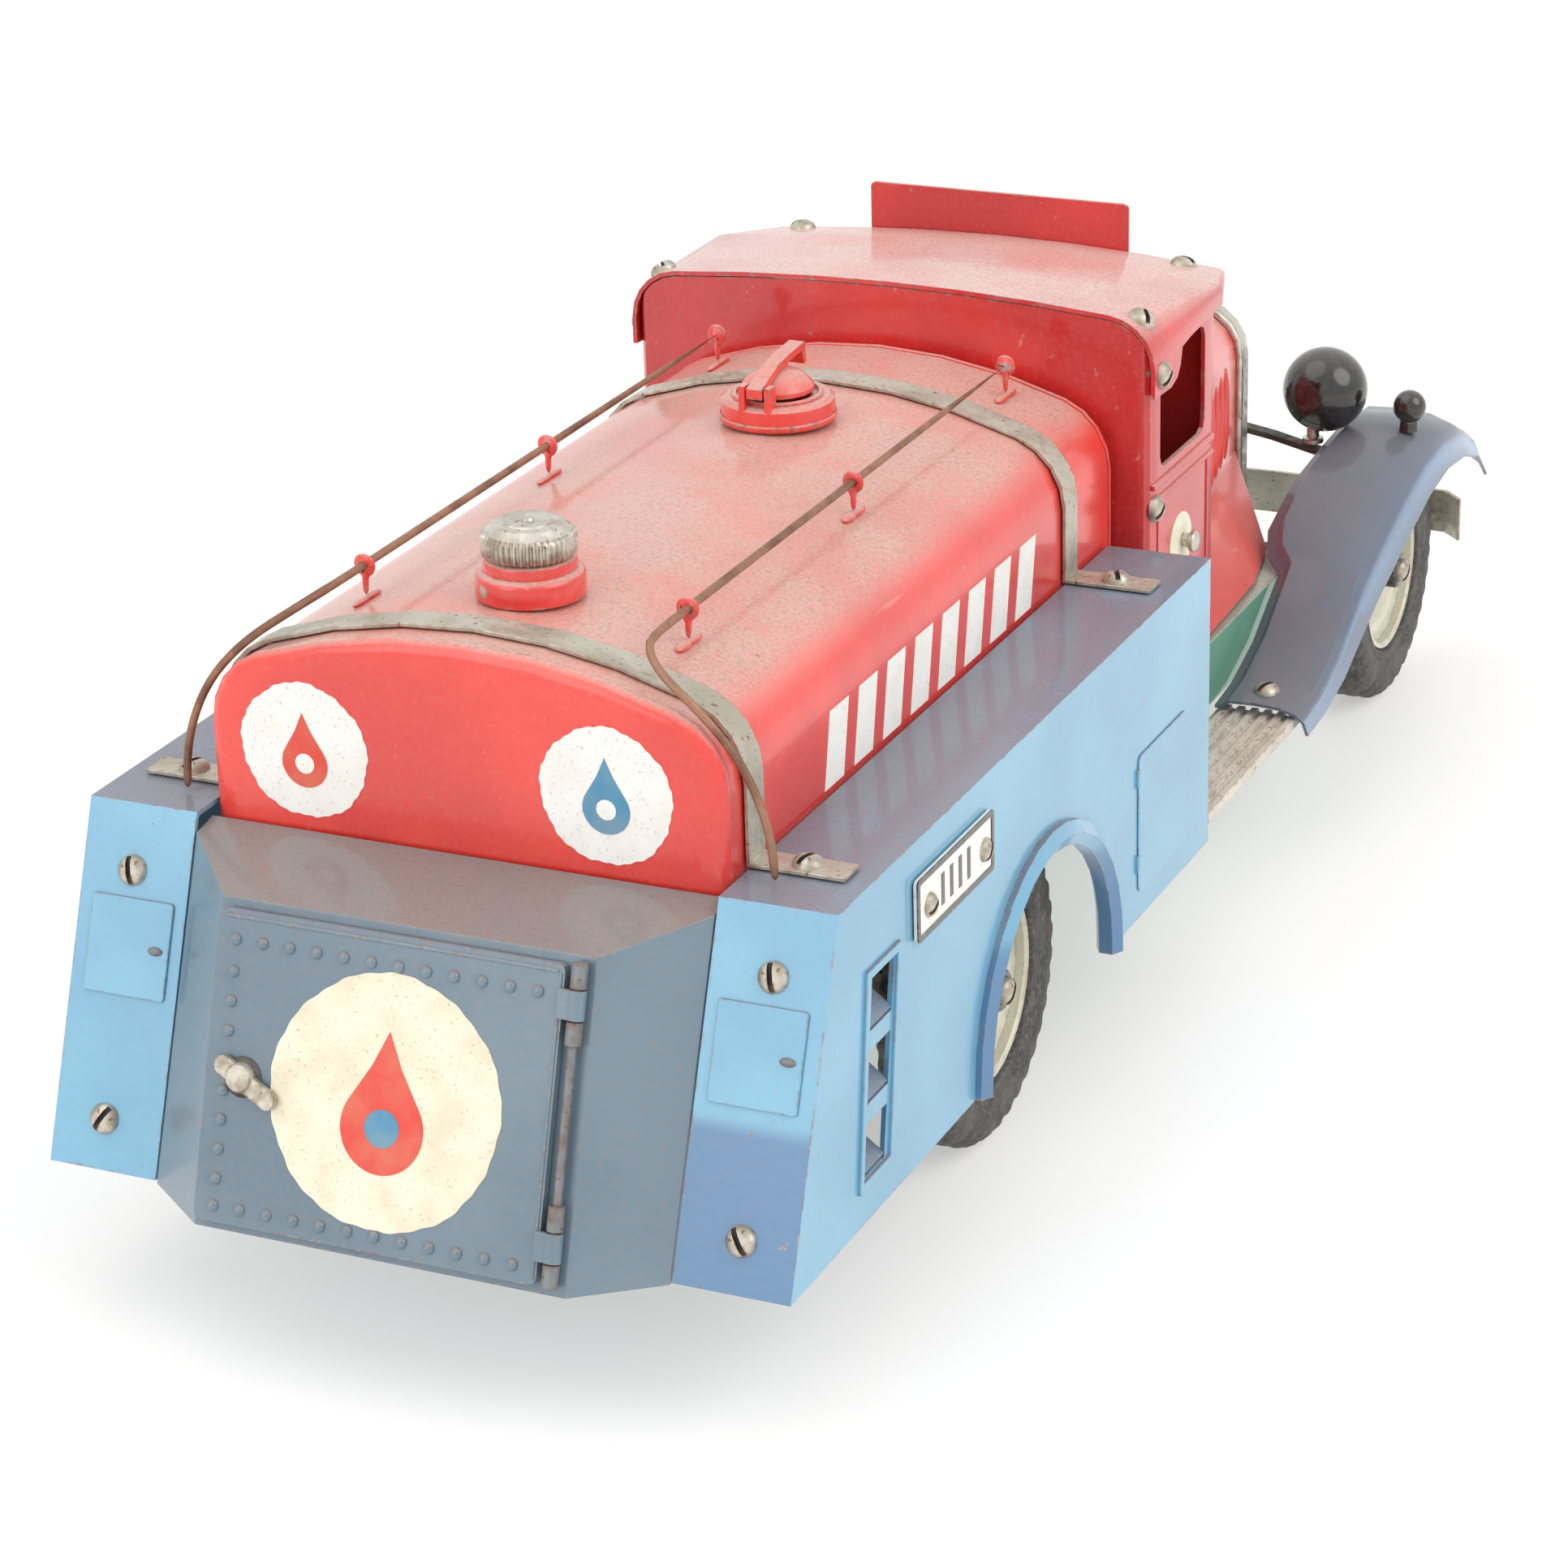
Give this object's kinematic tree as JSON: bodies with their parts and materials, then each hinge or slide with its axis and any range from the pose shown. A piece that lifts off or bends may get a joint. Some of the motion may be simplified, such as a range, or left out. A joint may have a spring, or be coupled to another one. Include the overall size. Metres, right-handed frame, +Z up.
{
  "type": "toy tank lorry",
  "caption": "Pressed-tinplate toy road tank lorry with fillable tank, side boxes, rear locker, cab, steering front wheels and rubber tyres, held together with slotted screws.",
  "frame": {"origin": "on the ground, under the middle of the whole length", "axes": "+Y forward, +X to the vehicle's right, +Z up"},
  "size_m": [0.1678, 0.4614, 0.1534],
  "materials": {
    "red_enamel": "gloss, dusty",
    "light_blue_enamel": "semi-gloss",
    "slate_blue_enamel": "semi-gloss, dusty",
    "green_enamel": "semi-gloss",
    "cream_enamel": "satin",
    "black_enamel": "gloss",
    "white_enamel": "semi-gloss",
    "black_rubber": "matt",
    "nickel": "bright, slightly tarnished",
    "tinned_steel": "dull",
    "coppered_wire": "dull, browned"
  },
  "bodies": {
    "lorry": {"bumper": "tinned_steel", "cab_body": "red_enamel", "cab_roof": "red_enamel", "cab_seat": "green_enamel", "chassis_frame": "green_enamel", "door_hinge_pin": "tinned_steel", "drain_tap": "tinned_steel", "eyelet_left_1": "red_enamel", "eyelet_left_2": "red_enamel", "eyelet_left_3": "red_enamel", "eyelet_right_1": "red_enamel", "eyelet_right_2": "red_enamel", "eyelet_right_3": "red_enamel", "filler_drum_front": "red_enamel", "filler_neck_rear": "red_enamel", "front_axle_beam": "tinned_steel", "front_wing_left": "slate_blue_enamel", "front_wing_right": "slate_blue_enamel", "handrail_left": "coppered_wire", "handrail_right": "coppered_wire", "headlight_left": "black_enamel", "headlight_right": "black_enamel", "hood": "red_enamel", "lamp_bar": "tinned_steel", "locker_body": "slate_blue_enamel", "number_plate": "white_enamel", "radiator_cap": "nickel", "radiator_shell": "nickel", "rear_axle_bracket": "tinned_steel", "roof_sign": "red_enamel", "running_board_left": "tinned_steel", "running_board_right": "tinned_steel", "side_box_left": "light_blue_enamel", "side_box_right": "light_blue_enamel", "side_lamp_left": "black_enamel", "side_lamp_right": "black_enamel", "tank_bed": "green_enamel", "tank_end_front": "red_enamel", "tank_end_rear": "red_enamel", "tank_shell": "red_enamel", "tank_strap_front": "tinned_steel", "tank_strap_rear": "tinned_steel"},
    "rear_axle_set": {"rear_axle": "tinned_steel", "rear_wheel_right": "cream_enamel", "rear_wheel_left": "cream_enamel", "rear_tyre_right": "black_rubber", "rear_tyre_left": "black_rubber"},
    "knuckle_right": {"steering_knuckle_right": "tinned_steel"},
    "knuckle_left": {"steering_knuckle_left": "tinned_steel"},
    "wheel_front_right": {"front_wheel_right": "cream_enamel", "front_tyre_right": "black_rubber"},
    "wheel_front_left": {"front_wheel_left": "cream_enamel", "front_tyre_left": "black_rubber"},
    "tie_rod": {"tie_rod": "tinned_steel"},
    "steering_wheel": {"steering_wheel": "black_enamel"},
    "locker_door": {"locker_door": "slate_blue_enamel"},
    "locker_handle": {"locker_handle": "nickel"},
    "filler_cap": {"filler_cap": "nickel"},
    "filler_lid": {"filler_lid": "red_enamel"},
    "tap_lever": {"tap_lever": "nickel"}
  },
  "joints": [
    {"name": "rear_axle_spin", "type": "hinge", "parent": "lorry", "child": "rear_axle_set", "pos_m": [0, -0.0855, 0.034], "axis": [1, 0, 0], "continuous": true},
    {"name": "steer_right", "type": "hinge", "parent": "lorry", "child": "knuckle_right", "pos_m": [0.048, 0.1884, 0.034], "axis": [0, 0, 1], "range_deg": [-15, 15]},
    {"name": "steer_left", "type": "hinge", "parent": "lorry", "child": "knuckle_left", "pos_m": [-0.048, 0.1884, 0.034], "axis": [0, 0, 1], "range_deg": [-15, 15]},
    {"name": "tie_rod_slide", "type": "slide", "parent": "lorry", "child": "tie_rod", "axis": [1, 0, 0], "range_m": [-0.004, 0.004]},
    {"name": "steering_wheel_turn", "type": "hinge", "parent": "lorry", "child": "steering_wheel", "pos_m": [-0.03, 0.0484, 0.101], "axis": [0, -0.7071, 0.7071], "range_deg": [-50, 50]},
    {"name": "front_wheel_right_spin", "type": "hinge", "parent": "knuckle_right", "child": "wheel_front_right", "pos_m": [0.0633, 0.1884, 0.034], "axis": [1, 0, 0], "continuous": true},
    {"name": "front_wheel_left_spin", "type": "hinge", "parent": "knuckle_left", "child": "wheel_front_left", "pos_m": [-0.0633, 0.1884, 0.034], "axis": [1, 0, 0], "continuous": true},
    {"name": "locker_door_hinge", "type": "hinge", "parent": "lorry", "child": "locker_door", "pos_m": [0.0372, -0.21031, 0.09008], "axis": [0, 0.3045, 0.9525], "range_deg": [0, 105]},
    {"name": "locker_handle_turn", "type": "hinge", "parent": "locker_door", "child": "locker_handle", "pos_m": [-0.0308, -0.2187, 0.05759], "axis": [0, -0.9525, 0.3045], "range_deg": [0, 90]},
    {"name": "filler_cap_lift", "type": "slide", "parent": "lorry", "child": "filler_cap", "axis": [0, 0, 1], "range_m": [0, 0.03]},
    {"name": "filler_lid_hinge", "type": "hinge", "parent": "lorry", "child": "filler_lid", "pos_m": [0, -0.0479, 0.1452], "axis": [1, 0, 0], "range_deg": [0, 100]},
    {"name": "tap_lever_turn", "type": "hinge", "parent": "lorry", "child": "tap_lever", "pos_m": [0.008, -0.1956, 0.0836], "axis": [0, 0, 1], "range_deg": [-90, 0]}
  ],
  "couplings": [
    {"joint": "steer_left", "follows": "steer_right", "ratio": 1},
    {"joint": "tie_rod_slide", "follows": "steer_right", "m_per_rad": 0.014},
    {"joint": "steering_wheel_turn", "follows": "steer_right", "ratio": 3}
  ]
}
